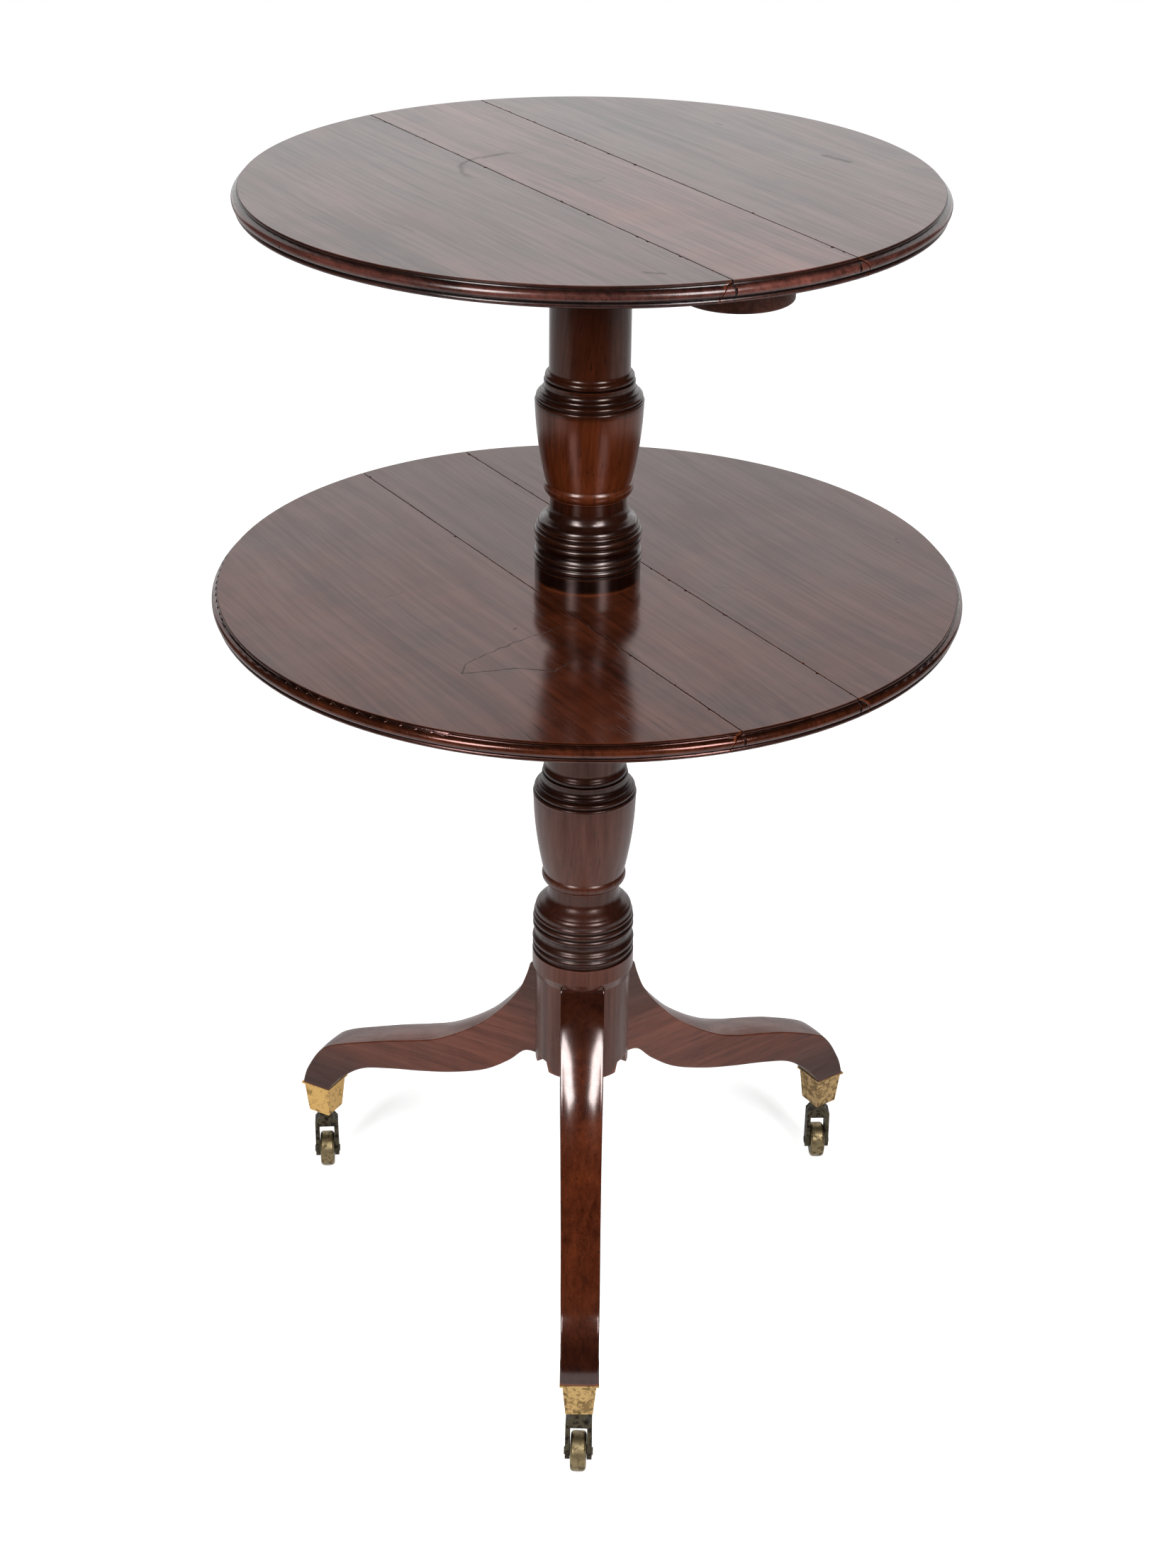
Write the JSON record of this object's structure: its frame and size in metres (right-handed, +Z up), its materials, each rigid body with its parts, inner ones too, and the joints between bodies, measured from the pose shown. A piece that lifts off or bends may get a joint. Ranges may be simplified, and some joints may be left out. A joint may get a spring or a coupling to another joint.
{
  "type": "dumbwaiter table",
  "caption": "Round two-tier mahogany dumbwaiter table with drop leaves, a turned column, splayed legs and brass castors.",
  "frame": {"origin": "on the floor under the column's axis, at the centre of the plan", "axes": "+Z up, -Y towards the front leg, +X to the viewer's right"},
  "size_m": [0.5976, 0.5976, 1],
  "materials": {
    "tier_wood": "French polished mahogany, worn",
    "column_wood": "French polished turned mahogany",
    "leg_wood": "polished mahogany",
    "bearer_wood": "plain waxed mahogany",
    "cap_brass": "aged cast brass",
    "castor_bronze": "dark patina",
    "wheel_brass": "dull worn brass",
    "pin_brass": "dull brass",
    "hinge_iron": "dark oiled iron",
    "screw_iron": "dark iron"
  },
  "bodies": {
    "stand": {"lower_column": "column_wood", "upper_column": "column_wood", "hub_brace_plate": "hinge_iron", "hub_brace_screws": "screw_iron", "cap_pins": "pin_brass", "castor_washers": "pin_brass", "leg_front": "leg_wood", "foot_cap_front": "cap_brass", "castor_stem_front": "pin_brass", "leg_right": "leg_wood", "foot_cap_right": "cap_brass", "castor_stem_right": "pin_brass", "leg_left": "leg_wood", "foot_cap_left": "cap_brass", "castor_stem_left": "pin_brass", "upper_plank": "tier_wood", "upper_plank_hinge_flaps": "hinge_iron", "upper_plank_hinge_screws": "screw_iron", "upper_hinge_pins": "hinge_iron", "upper_bearer_washer": "pin_brass", "lower_plank": "tier_wood", "lower_plank_hinge_flaps": "hinge_iron", "lower_plank_hinge_screws": "screw_iron", "lower_hinge_pins": "hinge_iron", "lower_bearer_washer": "pin_brass"},
    "upper_left_leaf": {"upper_left_leaf": "tier_wood", "upper_left_leaf_hinge_flaps": "hinge_iron", "upper_left_leaf_hinge_screws": "screw_iron"},
    "upper_right_leaf": {"upper_right_leaf": "tier_wood", "upper_right_leaf_hinge_flaps": "hinge_iron", "upper_right_leaf_hinge_screws": "screw_iron"},
    "upper_bearer": {"upper_bearer": "bearer_wood"},
    "lower_left_leaf": {"lower_left_leaf": "tier_wood", "lower_left_leaf_hinge_flaps": "hinge_iron", "lower_left_leaf_hinge_screws": "screw_iron"},
    "lower_right_leaf": {"lower_right_leaf": "tier_wood", "lower_right_leaf_hinge_flaps": "hinge_iron", "lower_right_leaf_hinge_screws": "screw_iron"},
    "lower_bearer": {"lower_bearer": "bearer_wood"},
    "castor_front": {"castor_fork_front": "castor_bronze", "castor_axle_front": "castor_bronze"},
    "wheel_front": {"castor_wheel_front": "wheel_brass"},
    "castor_right": {"castor_fork_right": "castor_bronze", "castor_axle_right": "castor_bronze"},
    "wheel_right": {"castor_wheel_right": "wheel_brass"},
    "castor_left": {"castor_fork_left": "castor_bronze", "castor_axle_left": "castor_bronze"},
    "wheel_left": {"castor_wheel_left": "wheel_brass"}
  },
  "joints": [
    {"name": "upper_left_leaf_drop", "type": "hinge", "parent": "stand", "child": "upper_left_leaf", "pos_m": [-0.04316, -0.02718, 0.9875], "axis": [-0.5329, 0.8462, 0], "range_deg": [-90, 0]},
    {"name": "upper_right_leaf_drop", "type": "hinge", "parent": "stand", "child": "upper_right_leaf", "pos_m": [0.04316, 0.02718, 0.9875], "axis": [0.5329, -0.8462, 0], "range_deg": [-90, 0]},
    {"name": "upper_bearer_turn", "type": "hinge", "parent": "stand", "child": "upper_bearer", "pos_m": [0, 0, 0.9735], "axis": [0, 0, 1], "range_deg": [0, 90]},
    {"name": "lower_left_leaf_drop", "type": "hinge", "parent": "stand", "child": "lower_left_leaf", "pos_m": [-0.04316, -0.02718, 0.6684], "axis": [-0.5329, 0.8462, 0], "range_deg": [-90, 0]},
    {"name": "lower_right_leaf_drop", "type": "hinge", "parent": "stand", "child": "lower_right_leaf", "pos_m": [0.04316, 0.02718, 0.6684], "axis": [0.5329, -0.8462, 0], "range_deg": [-90, 0]},
    {"name": "lower_bearer_turn", "type": "hinge", "parent": "stand", "child": "lower_bearer", "pos_m": [0, 0, 0.6544], "axis": [0, 0, 1], "range_deg": [0, 90]},
    {"name": "castor_front_swivel", "type": "hinge", "parent": "stand", "child": "castor_front", "pos_m": [0.00146, -0.2795, 0.05], "axis": [0, 0, 1], "continuous": true},
    {"name": "wheel_front_roll", "type": "hinge", "parent": "castor_front", "child": "wheel_front", "pos_m": [0.00139, -0.28149, 0.0166], "axis": [0.9994, -0.0349, 0], "continuous": true},
    {"name": "castor_right_swivel", "type": "hinge", "parent": "stand", "child": "castor_right", "pos_m": [0.23007, 0.15871, 0.05], "axis": [0, 0, 1], "continuous": true},
    {"name": "wheel_right_roll", "type": "hinge", "parent": "castor_right", "child": "wheel_right", "pos_m": [0.23015, 0.15671, 0.0166], "axis": [0.999, 0.0436, 0], "continuous": true},
    {"name": "castor_left_swivel", "type": "hinge", "parent": "stand", "child": "castor_left", "pos_m": [-0.24493, 0.13465, 0.05], "axis": [0, 0, 1], "continuous": true},
    {"name": "wheel_left_roll", "type": "hinge", "parent": "castor_left", "child": "wheel_left", "pos_m": [-0.24477, 0.13266, 0.0166], "axis": [0.9969, 0.0785, 0], "continuous": true}
  ]
}
